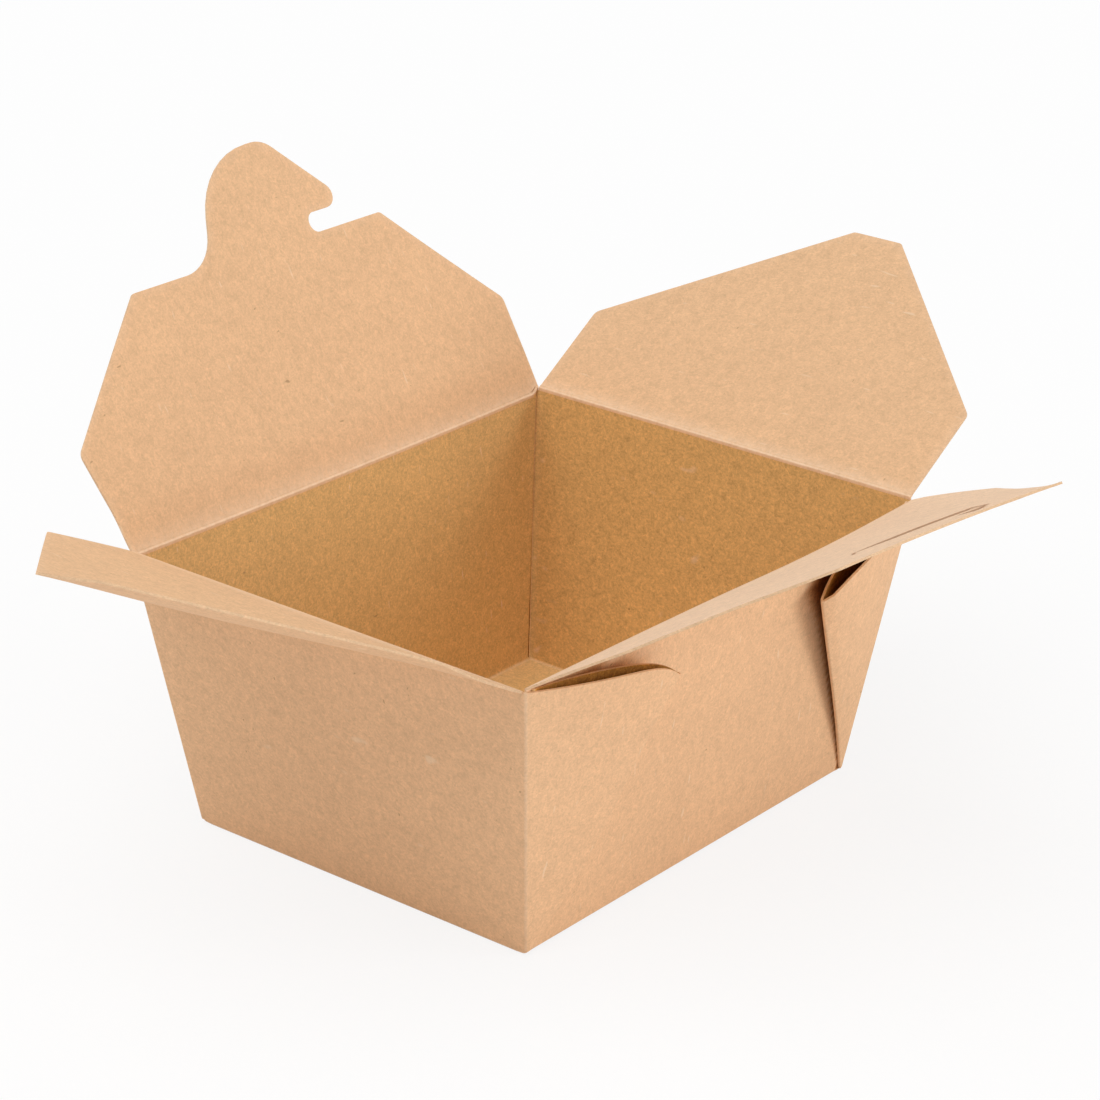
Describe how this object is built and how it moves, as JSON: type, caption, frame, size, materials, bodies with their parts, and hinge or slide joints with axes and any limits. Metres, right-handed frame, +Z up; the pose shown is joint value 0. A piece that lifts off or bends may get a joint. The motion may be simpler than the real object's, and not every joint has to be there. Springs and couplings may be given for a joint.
{
  "type": "takeaway box",
  "caption": "Open folded paperboard food box with tapered walls, folded corner webs, a tongue flap, a slotted flap and two end flaps.",
  "frame": {"origin": "centre of the base's underside, on the surface that the box stands on", "axes": "+Z up through the open top, +X along the long walls from the near end to the far end, +Y from the slotted flap's wall to the tongue flap's wall"},
  "size_m": [0.2488, 0.1948, 0.1287],
  "materials": {
    "kraft_board": "matte, uncoated"
  },
  "bodies": {
    "body": {"box_body": "kraft_board"},
    "tongue": {"tongue_flap": "kraft_board"},
    "slot": {"slot_flap": "kraft_board"},
    "near_end": {"near_end_flap": "kraft_board"},
    "far_end": {"far_end_flap": "kraft_board"}
  },
  "joints": [
    {"name": "tongue_flap_crease", "type": "hinge", "parent": "body", "child": "tongue", "pos_m": [0, 0.05235, 0.0648], "axis": [1, 0, 0], "range_deg": [-74, 118.5]},
    {"name": "slot_flap_crease", "type": "hinge", "parent": "body", "child": "slot", "pos_m": [0, -0.05235, 0.0648], "axis": [-1, 0, 0], "range_deg": [-44, 151]},
    {"name": "near_end_crease", "type": "hinge", "parent": "body", "child": "near_end", "pos_m": [-0.06625, 0, 0.064], "axis": [0, 1, 0], "range_deg": [-79, 155.3]},
    {"name": "far_end_crease", "type": "hinge", "parent": "body", "child": "far_end", "pos_m": [0.06625, 0, 0.064], "axis": [0, -1, 0], "range_deg": [-86, 148.3]}
  ]
}
